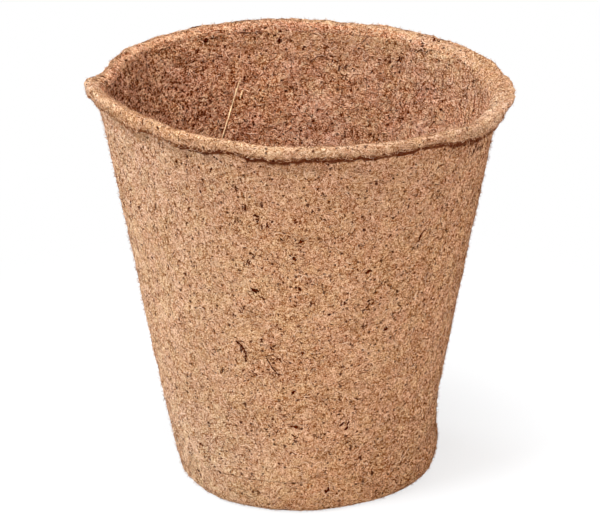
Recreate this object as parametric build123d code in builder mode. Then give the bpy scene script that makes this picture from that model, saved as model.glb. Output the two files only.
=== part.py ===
from build123d import *
from math import cos, radians, sin
import os

# A tapered plant pot felted from peat and wood fibre, with its top edge turned out and folded down.
# Millimetres, +Z up, with the origin at the centre of the underside.
# The felt is divided at its own moulded lines: above the rounded heel, and under the turn of the rim.

# Pot
pot_height = 80.0  # underside to the crown of the rim
foot_radius = 24.5  # outer face of the wall, carried straight down to the underside
mouth_radius = 38.9  # outer face of the wall, carried straight up to the crown
wall_thickness = 1.8  # measured level

# Base
base_thickness = 2.0
heel_radius = 3.0  # outer rounding between the underside and the wall
floor_fillet = 2.5  # inner rounding between the floor and the wall
heel_land = 2.5  # straight wall that the base carries above its roundings

# Rim: the felt turns out over the wall, and its flap hangs down outside with a crease behind it
turn_thickness = 1.8  # felt over the top of the wall
flap_thickness = 2.2
flap_drop = 1.0  # how far the flap hangs below the top of the wall
crease_gap = 0.25  # between the wall and the flap
crown_outer_fillet = 1.6
crown_inner_fillet = 0.8
flap_outer_fillet = 0.7
flap_inner_fillet = 0.5

# Straws pressed into the inner face: how long, how high, how far round from +X, and the lean from upright
straw_diameter = 0.4
straw_lift = 0.1  # from the inner face to the straw's middle line, towards the axis
straw_lengths = (25.0, 2.4)
straw_height_shares = (0.79, 0.83)
straw_turns = (113.9, 109.2)
straw_leans = (-24.0, -27.0)

# Rootlets pressed into the outer face, given in the same way
rootlet_diameter = 0.45
rootlet_sink = 0.1  # from the outer face to the rootlet's middle line, into the wall
rootlet_lengths = (4.8, 5.0, 2.2, 2.3)
rootlet_height_shares = (0.449, 0.414, 0.246, 0.734)
rootlet_turns = (249.9, 260.0, 267.5, 309.6)
rootlet_leans = (-19.0, -30.0, 90.0, 26.0)

# Worked-out places
wall_slope = (mouth_radius - foot_radius) / pot_height
base_height = max(heel_radius, base_thickness + floor_fillet) + heel_land
wall_top = pot_height - turn_thickness
flap_bottom = wall_top - flap_drop
flap_inset = wall_thickness + crease_gap
rim_width = flap_inset + flap_thickness


def outer_radius(height):
    """Radius of the wall's outer face at a height."""
    return foot_radius + wall_slope * height


def inner_radius(height):
    """Radius of the wall's inner face at a height."""
    return outer_radius(height) - wall_thickness


def plane_along_wall(face_radius, height, turn, lean, length):
    """Plane at the lower end of a rod whose middle lies at a height and turn, and whose Z runs along the rod."""
    outward = Vector(cos(radians(turn)), sin(radians(turn)), 0)
    around = Vector(-sin(radians(turn)), cos(radians(turn)), 0)
    upward = Vector(0, 0, 1)
    up_wall = (upward + outward * wall_slope).normalized()
    off_wall = (outward - upward * wall_slope).normalized()
    along = up_wall * cos(radians(lean)) + around * sin(radians(lean))
    middle = outward * face_radius + upward * height
    return Plane(origin=middle - along * (length / 2), x_dir=off_wall, z_dir=along)


# Straws: slender rods, each lying along the inner face
with BuildPart() as straw_stems:
    for length, height_share, turn, lean in zip(straw_lengths, straw_height_shares, straw_turns, straw_leans):
        straw_height = pot_height * height_share
        straw_radius = inner_radius(straw_height) - straw_lift
        with BuildSketch(plane_along_wall(straw_radius, straw_height, turn, lean, length)):
            Circle(straw_diameter / 2)
        extrude(amount=length)

# Rootlets: short rods, each lying along the outer face
with BuildPart() as rootlets:
    for length, height_share, turn, lean in zip(
        rootlet_lengths, rootlet_height_shares, rootlet_turns, rootlet_leans
    ):
        rootlet_height = pot_height * height_share
        rootlet_radius = outer_radius(rootlet_height) - rootlet_sink
        with BuildSketch(plane_along_wall(rootlet_radius, rootlet_height, turn, lean, length)):
            Circle(rootlet_diameter / 2)
        extrude(amount=length)

# Base: a floor with a rounded heel and a short upstand that carries the wall
base_corners = [
    (0, 0),
    (foot_radius, 0),
    (outer_radius(base_height), base_height),
    (inner_radius(base_height), base_height),
    (inner_radius(base_thickness), base_thickness),
    (0, base_thickness),
]
with BuildPart() as base:
    with BuildSketch(Plane.XZ):
        with BuildLine():
            FilletPolyline(*base_corners, radius=[0, heel_radius, 0, 0, floor_fillet, 0], close=True)
        make_face()
    revolve(axis=Axis.Z)

# Side wall: a plain cone of felt between the base and the rim, grooved where straws and rootlets lie
wall_corners = [
    (outer_radius(base_height), base_height),
    (outer_radius(wall_top), wall_top),
    (inner_radius(wall_top), wall_top),
    (inner_radius(base_height), base_height),
]
with BuildPart() as side_wall:
    with BuildSketch(Plane.XZ):
        with BuildLine():
            Polyline(*wall_corners, close=True)
        make_face()
    revolve(axis=Axis.Z)
    add(straw_stems.part, mode=Mode.SUBTRACT)
    add(rootlets.part, mode=Mode.SUBTRACT)

# Rolled rim: a hook in section, seated on top of the wall, its flap parallel to the wall
rim_corners = [
    (inner_radius(wall_top), wall_top),
    (inner_radius(pot_height), pot_height),
    (inner_radius(pot_height) + rim_width, pot_height),
    (inner_radius(flap_bottom) + rim_width, flap_bottom),
    (inner_radius(flap_bottom) + flap_inset, flap_bottom),
    (inner_radius(wall_top) + flap_inset, wall_top),
]
rim_fillets = [0, crown_inner_fillet, crown_outer_fillet, flap_outer_fillet, flap_inner_fillet, 0]
with BuildPart() as rolled_rim:
    with BuildSketch(Plane.XZ):
        with BuildLine():
            FilletPolyline(*rim_corners, radius=rim_fillets, close=True)
        make_face()
    revolve(axis=Axis.Z)

base.part.label = "base"
side_wall.part.label = "side_wall"
rolled_rim.part.label = "rolled_rim"
straw_stems.part.label = "straw_stems"
rootlets.part.label = "rootlets"

os.makedirs("parts", exist_ok=True)
export_step(base.part, "parts/base.step")
export_step(side_wall.part, "parts/side_wall.step")
export_step(rolled_rim.part, "parts/rolled_rim.step")
export_step(straw_stems.part, "parts/straw_stems.step")
export_step(rootlets.part, "parts/rootlets.step")
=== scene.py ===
"""The peat pot as the eye meets it: felted walls, a rolled rim, loose fibres, straws, bark and rootlets.

Lengths are millimetres until a mesh is written, in metres. A turn is an angle round the pot from +X towards
+Y, in degrees in the tables and in radians in the arrays. The camera looks at the turn of 270 degrees, with
180 on its left.
"""
from __future__ import annotations

import logging
from dataclasses import dataclass, field
from enum import Enum
from typing import Any, Sequence

import bpy
import numpy as np
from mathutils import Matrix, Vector


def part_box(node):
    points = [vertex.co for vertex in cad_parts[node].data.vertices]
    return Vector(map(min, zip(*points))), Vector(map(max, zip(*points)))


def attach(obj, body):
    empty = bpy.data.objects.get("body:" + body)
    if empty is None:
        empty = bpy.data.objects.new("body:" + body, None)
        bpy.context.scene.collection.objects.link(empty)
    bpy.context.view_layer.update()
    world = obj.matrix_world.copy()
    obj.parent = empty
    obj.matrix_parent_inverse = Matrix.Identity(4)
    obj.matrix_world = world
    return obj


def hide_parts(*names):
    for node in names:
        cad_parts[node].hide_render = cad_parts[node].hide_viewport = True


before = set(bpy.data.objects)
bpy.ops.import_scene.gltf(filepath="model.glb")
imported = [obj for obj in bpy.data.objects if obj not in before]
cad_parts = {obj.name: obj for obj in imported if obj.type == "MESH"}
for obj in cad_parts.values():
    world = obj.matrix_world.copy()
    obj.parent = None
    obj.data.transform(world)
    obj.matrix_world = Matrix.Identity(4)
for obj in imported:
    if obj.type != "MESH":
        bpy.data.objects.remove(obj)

log = logging.getLogger("peat_pot")

MM = 0.001  # metres
ROUND = 2.0 * np.pi  # one whole turn
SENSOR = 36.0  # width of the camera's film
BODY = "root"
PEAT = "pressed_peat"
BAKE_MAP = "OFBake"
INSIDE = "inside"  # attribute: 0 on the outer face of the felt, 1 on the inner face
CREASE_SHADE = "crease"  # attribute: painted shade, 1 in the crease under the rim's flap and on the heel's fold, 0 away from them
WEAR_AND_LIGHT = "worn"  # attribute: 1 where the felt is paler and smoother, partly wear and partly painted light, 0 where not, -1 where it is shaggier
EVEN = (1.0, 1.0, 1.0)
WHITE = (1.0, 1.0, 1.0, 1.0)
Array = np.ndarray
Colour = tuple[float, float, float]
Stops = tuple[tuple[float, Colour], ...]
Range = tuple[float, float]
Strokes = tuple[tuple[float, float, float, Colour], ...]


def ease(low: float, high: float, value: Array) -> Array:
    """Smooth step: 0 up to low, 1 from high, and 3x² − 2x³ of the share x between them.

    Args:
        low: where the step starts.
        high: where the step ends; it may be less than low, and the step then falls.
        value: the values to step.

    Returns:
        Values from 0 to 1.
    """
    share = np.clip((value - low) / (high - low), 0.0, 1.0)
    return share * share * (3.0 - 2.0 * share)


def unit(vectors: Array) -> Array:
    """Vectors of length 1 along the given ones."""
    return vectors / np.maximum(np.linalg.norm(vectors, axis=-1, keepdims=True), 1e-12)


def filled(value: Array | float, turn: Array, share: Array) -> Array:
    """A value spread over every place of a grid of turns and shares."""
    return np.broadcast_to(value, np.broadcast(turn, share).shape)


def grid(columns: int, rows: int) -> list[Array]:
    """Turns all round the pot and shares from 0 to 1, on a grid of rows and columns."""
    return np.meshgrid(np.linspace(0.0, ROUND, columns, endpoint=False), np.linspace(0.0, 1.0, rows))


def shown(red: float, green: float, blue: float) -> Colour:
    """A screen's colour, each part from 0 to 255, as the light that a shader works with."""
    parts = np.array([red, green, blue]) / 255.0
    return tuple(np.where(parts <= 0.04045, parts / 12.92, ((parts + 0.055) / 1.055) ** 2.4).tolist())


def stops(*rows: tuple[float, float, float, float]) -> Stops:
    """A ramp's stops from rows of place, red, green and blue, as a screen shows them."""
    return tuple((place, shown(*colour)) for place, *colour in rows)


def linked(name: str, data: bpy.types.ID) -> bpy.types.Object:
    """A new object in the scene."""
    made = bpy.data.objects.new(name, data)
    bpy.context.scene.collection.objects.link(made)
    return made


@dataclass(frozen=True)
class LumpField:
    """Smooth random values in space, from seeded values on a cubic lattice."""

    seed: int
    factors: tuple[int, ...] = (0x9E3779B97F4A7C15, 0xC2B2AE3D27D4EB4F, 0x165667B19E3779F9)
    scramble: int = 0xFF51AFD7ED558CCD

    def corner(self, cell: Array) -> Array:
        """Mixes whole lattice places into values from −1 to 1, by multiplying and folding their bits.

        Args:
            cell: whole-number places, the last axis holding x, y and z.

        Returns:
            One value for each place.
        """
        whole = cell.astype(np.int64).astype(np.uint64)
        mixed = np.bitwise_xor.reduce(whole * np.array(self.factors, np.uint64), axis=-1)
        mixed = mixed + np.uint64(self.seed * 7919 + 1)
        for fold in (33, 29, 32):
            mixed = (mixed ^ (mixed >> np.uint64(fold))) * np.uint64(self.scramble)
        return (mixed >> np.uint64(40)).astype(float) / 2.0**23 - 1.0

    def at(self, points: Array, size: float) -> Array:
        """Value at points: the eight corners of a point's cell, weighted by a quintic ease along each axis.

        Args:
            points: places, the last axis holding x, y and z.
            size: the side of a cell.

        Returns:
            Values from −1 to 1.
        """
        spot = points / size
        cell = np.floor(spot)
        part = spot - cell
        blend = part**3 * (part * (part * 6.0 - 15.0) + 10.0)
        total = np.zeros(points.shape[:-1])
        for corner in np.ndindex(2, 2, 2):
            weight = np.prod(np.where(corner, blend, 1.0 - blend), axis=-1)
            total += weight * self.corner(cell + corner)
        return total


def ring_wave(turn: Array, knots: int, seed: int) -> Array:
    """Random wave round the pot: seeded heights at evenly spaced knots, joined by smooth steps.

    Args:
        turn: turns.
        knots: how many heights stand round the pot.
        seed: which wave.

    Returns:
        Values from −1 to 1.
    """
    heights = np.random.default_rng(seed).uniform(-1.0, 1.0, knots)
    place = np.mod(turn, ROUND) / ROUND * knots
    left = np.floor(place).astype(int)
    share = ease(0.0, 1.0, place - left)
    return heights[left % knots] * (1.0 - share) + heights[(left + 1) % knots] * share


@dataclass(frozen=True)
class Swells:
    """Smooth bulges and dents on sides of the pot, as rows of turn, width and amount."""

    rows: tuple[tuple[float, float, float], ...]

    def at(self, turn: Array) -> Array:
        """All rows added up: each is its amount times a bell curve of the angle from its own turn."""
        total = np.zeros_like(turn)
        for place, width, amount in self.rows:
            away = np.angle(np.exp(1j * (turn - np.radians(place))))
            total = total + amount * np.exp(-0.5 * (away / np.radians(width)) ** 2)
        return total


@dataclass(frozen=True)
class PotForm:
    """The pot's true sizes, and how far the dried felt has pulled out of true."""

    height: float
    wall_foot: float
    wall_top: float
    foot_radius: float
    top_radius: float
    rim_low: float
    rim_radius: float
    wall: float = 1.8
    floor: float = 2.0
    lean: float = -0.006
    mouth_fade: float = 2.4
    throat_fade: float = 8.0
    heel_height: float = 4.5
    heel_spread: float = 4.5
    fold_start: float = 265.0
    fold_low: float = 4.6
    fold_climb: float = 4.6
    fold_depth: float = 0.22
    fold_width: float = 1.1
    mouth: Swells = Swells((
        (215, 15, -2.3), (240, 8, -0.9), (322, 16, 1.1), (28, 20, -0.5),
        (74, 9, -0.8), (108, 28, 1.3), (166, 9, -0.7), (275, 30, 0.4),
    ))
    throat: Swells = Swells(((183, 8, 0.9), (350, 10, 0.4)))
    crown: Swells = Swells((
        (97, 5, 0.30), (60, 5, 0.22), (164, 4, -0.35), (172.5, 3.5, -0.55), (183, 4.5, 0.45),
        (199, 6, 0.5), (213, 5, -0.3), (222, 13, 0.6), (226.5, 3.5, 0.35), (233.5, 4, -0.45),
        (250, 10, 0.4), (275, 6, 0.25), (325, 6, -0.7), (339, 8, -0.25),
    ))
    heel: Swells = Swells((
        (354, 26, 1.75), (326, 13, 0.6), (268, 40, 0.3), (302, 13, -0.65), (200, 22, -0.5), (235, 16, 0.55),
    ))
    # paler at the heel's left front and shaggier at its right, fading upwards
    paler_by_wear_and_light: Swells = Swells(((226, 30, 0.75), (318, 24, -0.42)))
    # paler on the lit left side, which is painted light, and shaggier on the right
    side_light_and_shag: Swells = Swells(((190, 32, 0.65), (340, 34, -0.35)))

    @classmethod
    def from_frame(cls) -> PotForm:
        """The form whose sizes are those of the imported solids."""
        base, wall, rim = (
            np.array(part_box(node)) / MM for node in ("base", "side_wall", "rolled_rim")
        )
        return cls(rim[1][2], wall[0][2], wall[1][2], base[1][0], wall[1][0], rim[0][2], rim[1][0])

    def outer(self, height: Array | float) -> Array | float:
        """Radius of the outer face at a height, on a straight cone."""
        slope = (self.top_radius - self.foot_radius) / (self.wall_top - self.wall_foot)
        return self.foot_radius + slope * (height - self.wall_foot)

    def inner(self, height: Array | float) -> Array | float:
        """Radius of the inner face at a height."""
        return self.outer(height) - self.wall

    def fold(self, turn: Array, height: Array) -> Array:
        """How near a place is to the fold above the puffed heel on the right.

        The fold climbs from the front to the right, and its share is a bell curve of the height from it,
        faded in past the front and out towards the back.

        Args:
            turn: turns.
            height: heights on the true form.

        Returns:
            Values from 0 to 1.
        """
        past = np.mod(turn - np.radians(self.fold_start), ROUND)
        line = self.fold_low + self.fold_climb * np.sin(np.clip(past, 0.0, 0.25 * ROUND))
        present = ease(0.1, 0.6, past) * ease(2.6, 1.5, past) * (0.45 + 0.55 * ease(0.7, 1.1, past))
        return present * np.exp(-0.5 * ((height - line) / self.fold_width) ** 2)

    def outer_wear_and_light(self, turn: Array, height: Array) -> Array:
        """Paler or shaggier outside: the heel's swells, fading upwards, and the sides' swells, painted light
        on the lit left.
        """
        return self.paler_by_wear_and_light.at(turn) * ease(34.0, 3.0, height) + self.side_light_and_shag.at(turn)

    def place(self, turn: Array, radius: Array, height: Array) -> Array:
        """Carries a place on the true form to the dried pot.

        The radius grows by the mouth's and the throat's swells, each times a power of the height, and by the
        heel's swells times a bell curve of the height, less the heel's fold. Near the rim the height grows by
        the crown's swells, and the axis leans a little.

        Args:
            turn: turns.
            radius: distances from the axis on the true form.
            height: heights on the true form.

        Returns:
            Points, x, y and z on the last axis.
        """
        share = np.clip(height / self.height, 0.0, 1.1)
        near_heel = np.exp(-0.5 * ((height - self.heel_height) / self.heel_spread) ** 2)
        push = self.mouth.at(turn) * share**self.mouth_fade + self.heel.at(turn) * near_heel
        push = push + self.throat.at(turn) * share**self.throat_fade
        push = push - self.fold_depth * self.fold(turn, height)
        wide = radius + push * np.clip(radius / self.outer(height), 0.0, 1.1) ** 2
        lift = self.crown.at(turn) * ease(0.72 * self.height, self.height, height)
        x = wide * np.cos(turn) + self.lean * height
        return np.stack([x, wide * np.sin(turn), height + lift], axis=-1)


def rounded_path(corners: Sequence[tuple[float, ...]], steps: int = 14) -> Array:
    """Profile through corners, each rounded by a parabola that starts and ends an easing length from it.

    Args:
        corners: radius, height and easing length of each corner in turn, and a second easing length where the
            parabola ends further from the corner than it starts.
        steps: points on each rounding.

    Returns:
        Points of the profile, radius and height on the last axis.
    """
    spots = np.array([corner[:2] for corner in corners], float)
    pieces = [spots[:1]]
    along = np.linspace(0.0, 1.0, steps)[:, None]
    for before, spot, after, corner in zip(spots, spots[1:], spots[2:], corners[1:-1]):
        start = spot + unit(before - spot) * corner[2]
        end = spot + unit(after - spot) * corner[-1]
        arc = (1 - along) ** 2 * start + 2 * along * (1 - along) * spot + along**2 * end
        pieces.append(arc if corner[2] > 0 else spot[None])
    pieces.append(spots[-1:])
    return np.concatenate(pieces)


@dataclass
class Skin:
    """A face of the felt: a profile carried round the pot, pushed out of true and covered with small lumps.

    A place on it is a turn and a share of the profile's length. The profile runs so that the felt's outside
    is on the side of the turn direction crossed with the profile's. As it stands, it is the outer face of the
    side wall.
    """

    form: PotForm
    path: Array
    lumps: tuple[Range, ...] = ((7.0, 0.16), (2.6, 0.10), (1.0, 0.09))
    weave: LumpField = LumpField(5)
    reach: float = 0.15
    run: Array = field(init=False)
    length: float = field(init=False)

    def __post_init__(self) -> None:
        """Measures the profile."""
        steps = np.linalg.norm(np.diff(self.path, axis=0), axis=1)
        self.run = np.concatenate([[0.0], np.cumsum(steps)])
        self.length = float(self.run[-1])

    def profile(self, share: Array) -> tuple[Array, Array]:
        """Radius and height at a share of the profile's length."""
        at = np.clip(share, 0.0, 1.0) * self.length
        return np.interp(at, self.run, self.path[:, 0]), np.interp(at, self.run, self.path[:, 1])

    def smooth(self, turn: Array, share: Array) -> Array:
        """The face without its lumps."""
        return self.form.place(turn, *self.profile(share))

    def roughness(self, turn: Array, share: Array) -> Array:
        """How much of the lumps shows at each place, from 0 to about 1."""
        return filled(1.0, turn, share)

    def inside(self, turn: Array, share: Array) -> Array:
        """0 on the pot's outside, 1 on its inside."""
        return filled(0.0, turn, share)

    def worn(self, turn: Array, share: Array) -> Array:
        """How much paler the felt is, to about 1, partly wear and partly painted light, or how much shaggier,
        below 0.
        """
        return self.form.outer_wear_and_light(turn, self.profile(share)[1]) * (1.0 - self.inside(turn, share))

    def share_at(self, height: Array) -> Array:
        """Share of the profile at heights, on a profile that only climbs or only falls."""
        heights = self.path[:, 1]
        order = slice(None) if heights[-1] >= heights[0] else slice(None, None, -1)
        return np.interp(height, heights[order], (self.run / self.length)[order])

    def directions(self, turn: Array, share: Array) -> tuple[Array, Array, Array]:
        """Unit vectors round the pot, along the profile and out of the felt, from small steps both ways.

        Args:
            turn: turns.
            share: shares of the profile.

        Returns:
            Round, along and out, as arrays of vectors.
        """
        step = self.reach / self.length
        wide = self.reach / np.maximum(self.profile(share)[0], 0.5)
        low, high = np.clip(share - step, 0.0, 1.0), np.clip(share + step, 0.0, 1.0)
        around = unit(self.smooth(turn + wide, share) - self.smooth(turn - wide, share))
        along = unit(self.smooth(turn, high) - self.smooth(turn, low))
        return around, along, unit(np.cross(around, along))

    def felt(self, turn: Array, share: Array) -> tuple[Array, Array]:
        """The lumpy face: the smooth one, moved out by three sizes of lumps added up.

        Args:
            turn: turns.
            share: shares of the profile.

        Returns:
            Points, and the unit vectors out of the felt.
        """
        spots = self.smooth(turn, share)
        out = self.directions(turn, share)[2]
        height = sum(amount * self.weave.at(spots, size) for size, amount in self.lumps)
        return spots + out * (height * self.roughness(turn, share))[..., None], out


@dataclass
class InnerSkin(Skin):
    """The inner face of the side wall, felted more loosely."""

    pale_margin: Swells = Swells(((2, 26, 0.75), (40, 14, 0.3), (88, 32, 0.88)))
    # where the inner face is shaggier and darkened with painted shade, most of all on the shaded left
    shaggy_and_shaded: Swells = Swells(((165, 36, 0.9), (15, 40, 0.3)))

    def inside(self, turn: Array, share: Array) -> Array:
        """1 all over, but less in the pale margin under the rim on the right and at the back."""
        top = self.form.wall_top
        return 1.0 - self.pale_margin.at(turn) * ease(top - 10.0, top - 0.5, self.profile(share)[1])

    def worn(self, turn: Array, share: Array) -> Array:
        """Nowhere paler, and shaggier, with painted shade, most of all on the left."""
        return -filled(self.shaggy_and_shaded.at(turn), turn, share)


@dataclass
class RimSkin(Skin):
    """The rolled rim: down the crease, round the flap, over the crown and down the inner face."""

    narrow: float = 0.55
    least: float = 0.15
    # paler crown and flap, all round and in swells: partly wear, partly painted light on the crown's top
    crown_wear_and_light: float = 0.4
    lining: Swells = Swells(((135, 34, 1.5), (70, 25, 0.5), (0, 24, -1.2), (270, 45, -0.6)))
    paler_by_wear_and_light: Swells = Swells((
        (334, 15, 0.8), (278, 15, 0.45), (237, 13, -0.4), (2, 16, -0.4), (186, 8, 0.5), (213, 10, -0.4),
    ))
    spread: Swells = Swells((
        (182, 5, 0.25), (166, 8, -0.28), (347, 9, 0.65), (25, 22, 0.10), (115, 40, -0.20),
    ))
    taper: Swells = Swells(((181, 7, 0.12), (347, 10, 0.72), (30, 30, 0.25)))
    steep: Swells = Swells(((118, 44, 1.0),))
    # where the painted shade on the flap's hidden side is fainter
    faint: Swells = Swells(((205, 18, 0.45),))
    hang: Swells = Swells((
        (182, 7, 0.4), (170, 6, -0.5), (209, 8, 0.45), (233.5, 4, -0.3), (238, 6.5, 0.45), (252, 4, -0.85),
        (273, 2.5, -0.45), (285, 3, -0.4), (305, 12, -0.45), (325, 6, -0.6), (330, 9, 1.6),
    ))

    def beyond(self, share: Array) -> Array:
        """How far the true section stands out past the wall's outer face."""
        radius, height = self.profile(share)
        return radius - self.form.outer(height)

    def ragged(self, turn: Array) -> Array:
        """The torn wave of the flap's lower edge."""
        return 0.24 * ring_wave(turn, 90, 3) + 0.22 * ring_wave(turn, 240, 4) + 0.15 * ring_wave(turn, 520, 8)

    def edge(self, turn: Array) -> Array:
        """Height of the flap's lower edge."""
        return self.form.rim_low - self.hang.at(turn) - self.ragged(turn)

    def smooth(self, turn: Array, share: Array) -> Array:
        """The true section, its overhang widened at the crown, narrowed at the flap's edge and hung lower.

        The overhang beyond the wall is multiplied by the narrowing plus the spread, less the taper times how
        far down the flap the place lies. The hang and the ragged wave lower the outer half of the flap. Where
        the rim is steep, the inner rounding is drawn in to the straight inner face.

        Args:
            turn: turns.
            share: shares of the profile.

        Returns:
            Points, x, y and z on the last axis.
        """
        radius, height = self.profile(share)
        wall, top = self.form.outer(height), self.form.height
        straight = ease(-0.2, -1.2, radius - wall) * ease(top + 0.05, top - 0.25, height)
        radius = radius - self.steep.at(turn) * straight * (radius - self.form.inner(height))
        down = np.clip((top - height) / (top - self.form.rim_low), 0.0, 1.0)
        over = np.maximum(radius - wall, 0.0)
        times = np.maximum(self.narrow + self.spread.at(turn) - self.taper.at(turn) * down, self.least)
        wave = 0.16 * ring_wave(turn, 60, 6) + 0.10 * ring_wave(turn, 170, 7)
        out = ease(0.1, 1.0, over)
        drop = (self.hang.at(turn) + self.ragged(turn)) * out * down**1.5
        rise = 0.10 * ring_wave(turn, 75, 9) * (1.0 - down)
        spots = self.form.place(turn, np.minimum(radius, wall) + over * times + wave * out, height)
        return spots + np.stack([np.zeros_like(drop), np.zeros_like(drop), rise - drop], axis=-1)

    def roughness(self, turn: Array, share: Array) -> Array:
        """Full lumps on the open faces, few in the crease."""
        beyond = self.beyond(share)
        return filled(1.0 - 0.9 * (ease(1.0, 0.5, beyond) * ease(-0.4, 0.0, beyond)), turn, share)

    def inside(self, turn: Array, share: Array) -> Array:
        """1 on the inner face, falling to 0 over the crown, further out where the rim is thin."""
        return ease(-0.9, -1.6, self.beyond(share) - self.lining.at(turn))

    def worn(self, turn: Array, share: Array) -> Array:
        """Paler on the crown and the flap, most of all on the right: partly wear, partly painted light on the
        crown's top.
        """
        return (self.crown_wear_and_light + self.paler_by_wear_and_light.at(turn)) * (1.0 - self.inside(turn, share))

    def share_at(self, height: Array) -> Array:
        """Share of the profile at heights on the way down from the crown to the inner face."""
        top = int(np.argmax(self.path[:, 1]))
        return np.interp(-height, -self.path[top:, 1], (self.run / self.length)[top:])

    def crease(self, turn: Array, share: Array) -> Array:
        """Painted shade: 1 on the flap's hidden side, 0 on the open faces, with a ragged margin at the lower
        edge.
        """
        low = ease(0.349, 0.319, share + 0.009 * ring_wave(turn, 120, 10) + 0.012 * ring_wave(turn, 240, 5))
        return low * (1.0 - self.faint.at(turn))


class BaseSkin(Skin):
    """The whole base: underside, heel, seat under the wall, and floor."""

    def smooth(self, turn: Array, share: Array) -> Array:
        """The true section, with the middle of the underside drawn up a little by drying."""
        radius, height = self.profile(share)
        foot = self.form.foot_radius
        domed = 0.45 * ease(0.5, 0.0, height) * ease(0.85 * foot, 0.25 * foot, radius)
        return self.form.place(turn, radius, height + domed)

    def share_at(self, height: Array) -> Array:
        """Share of the profile at heights on the heel."""
        heel = slice(1, int(np.argmax(self.path[:, 1])) + 1)
        return np.interp(height, self.path[heel, 1], (self.run / self.length)[heel])

    def roughness(self, turn: Array, share: Array) -> Array:
        """No lumps where the pot stands or where the wall is seated, full lumps elsewhere."""
        radius, height = self.profile(share)
        form = self.form
        seat = ease(form.wall_foot - 0.02, form.wall_foot, height)
        seat = seat * ease(-0.05, -0.2, radius - form.outer(height))
        seat = seat * ease(0.05, 0.2, radius - form.inner(height))
        standing = ease(0.6, 0.0, height) * ease(0.4, 0.8, radius / form.foot_radius)
        return filled((1.0 - seat) * (1.0 - 0.85 * standing), turn, share)

    def inside(self, turn: Array, share: Array) -> Array:
        """1 on the floor and its rounding, 0 on the heel and underside."""
        return filled(ease(0.55, 0.58, share), turn, share)


@dataclass
class MeshDraft:
    """A mesh as whole arrays, before it becomes an object."""

    points: Array
    quads: Array
    triangles: Array
    quad_map: Array
    triangle_map: Array
    values: dict[str, Array] = field(default_factory=dict)

    def to_object(self, name: str, material: bpy.types.Material) -> bpy.types.Object:
        """Writes the arrays into a new object at the origin.

        Args:
            name: the object's name.
            material: its one material.

        Returns:
            The linked object.
        """
        mesh = bpy.data.meshes.new(name)
        mesh.vertices.add(len(self.points))
        mesh.vertices.foreach_set("co", (self.points * MM).astype(np.float32).ravel())
        corners = np.concatenate([self.quads.ravel(), self.triangles.ravel()]).astype(np.int32)
        triangle_starts = self.quads.size + np.arange(len(self.triangles)) * 3
        starts = np.concatenate([np.arange(len(self.quads)) * 4, triangle_starts]).astype(np.int32)
        mesh.loops.add(len(corners))
        mesh.loops.foreach_set("vertex_index", corners)
        mesh.polygons.add(len(starts))
        mesh.polygons.foreach_set("loop_start", starts)
        mesh.update(calc_edges=True)
        mesh.polygons.foreach_set("use_smooth", np.ones(len(starts), bool))
        places = np.concatenate([self.quad_map.reshape(-1, 2), self.triangle_map.reshape(-1, 2)])
        layer = mesh.uv_layers.new(name=BAKE_MAP)
        layer.uv.foreach_set("vector", places.astype(np.float32).ravel())
        for key, value in self.values.items():
            kept = mesh.attributes.new(key, "FLOAT", "POINT").data
            kept.foreach_set("value", value.astype(np.float32).ravel())
        mesh.validate()
        mesh.materials.append(material)
        return linked(name, mesh)


def joined(drafts: Sequence[MeshDraft]) -> MeshDraft:
    """Several drafts as one, with their points numbered on from each other."""
    starts = np.cumsum([0] + [len(draft.points) for draft in drafts])
    return MeshDraft(
        np.concatenate([draft.points for draft in drafts]),
        np.concatenate([draft.quads + start for draft, start in zip(drafts, starts)]),
        np.concatenate([draft.triangles + start for draft, start in zip(drafts, starts)]),
        np.concatenate([draft.quad_map for draft in drafts]),
        np.concatenate([draft.triangle_map for draft in drafts]),
    )


def ring_draft(rows: Array, values: dict[str, Array], poles: bool, margin: float = 0.002) -> MeshDraft:
    """Joins rows of points round the pot into a closed mesh.

    Each face goes from a row to the next and from a column to the next, and the last column joins the first.
    The last row joins the first too, or, with poles, the first and last rows are each drawn together.

    Args:
        rows: points as rows, columns and x, y, z.
        values: attributes by name, with a value for each point.
        poles: whether the first and last rows are single points on the axis.
        margin: empty edge of the map.

    Returns:
        The mesh as arrays, with a map whose across is the turn and whose up is the row.
    """
    count, columns = rows.shape[:2]
    index = np.arange(count * columns).reshape(count, columns)
    lower, upper = (index[1:-2], index[2:-1]) if poles else (index, np.roll(index, -1, axis=0))
    quads = np.stack([lower, np.roll(lower, -1, 1), np.roll(upper, -1, 1), upper], axis=-1).reshape(-1, 4)
    row, column = np.meshgrid(np.arange(len(lower)) + int(poles), np.arange(columns), indexing="ij")
    left, right = column / columns, (column + 1) / columns
    low, high = row / count, (row + 1) / count
    spots = np.stack([left, low, right, low, right, high, left, high], axis=-1).reshape(-1, 4, 2)
    points = rows.reshape(-1, 3)
    values = {name: np.broadcast_to(value, (count, columns)).reshape(-1) for name, value in values.items()}
    triangles, fan_map = np.zeros((0, 3), int), np.zeros((0, 3, 2))
    if poles:
        first, last = index[0, 0], index[-1, 0]
        ring, top = index[1], index[-2]
        foot = np.stack([np.full(columns, first), np.roll(ring, -1), ring], axis=-1)
        head = np.stack([top, np.roll(top, -1), np.full(columns, last)], axis=-1)
        across = np.arange(columns) / columns
        next_across, middle = across + 1.0 / columns, across + 0.5 / columns
        zero, one = np.zeros(columns), np.full(columns, 1.0 / count)
        foot_map = np.stack([middle, zero, next_across, one, across, one], axis=-1)
        head_map = np.stack([across, 1 - 2 * one, next_across, 1 - 2 * one, middle, 1 - one], axis=-1)
        fan_map = np.concatenate([foot_map, head_map]).reshape(-1, 3, 2)
        used = np.concatenate([[first], index[1:-1].ravel(), [last]])
        renumber = np.zeros(len(points), int)
        renumber[used] = np.arange(len(used))
        points = points[used]
        values = {name: value[used] for name, value in values.items()}
        quads, triangles = renumber[quads], renumber[np.concatenate([foot, head])]
    inset = 1.0 - 2.0 * margin
    return MeshDraft(points, quads, triangles, margin + inset * spots, margin + inset * fan_map, values)


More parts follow.
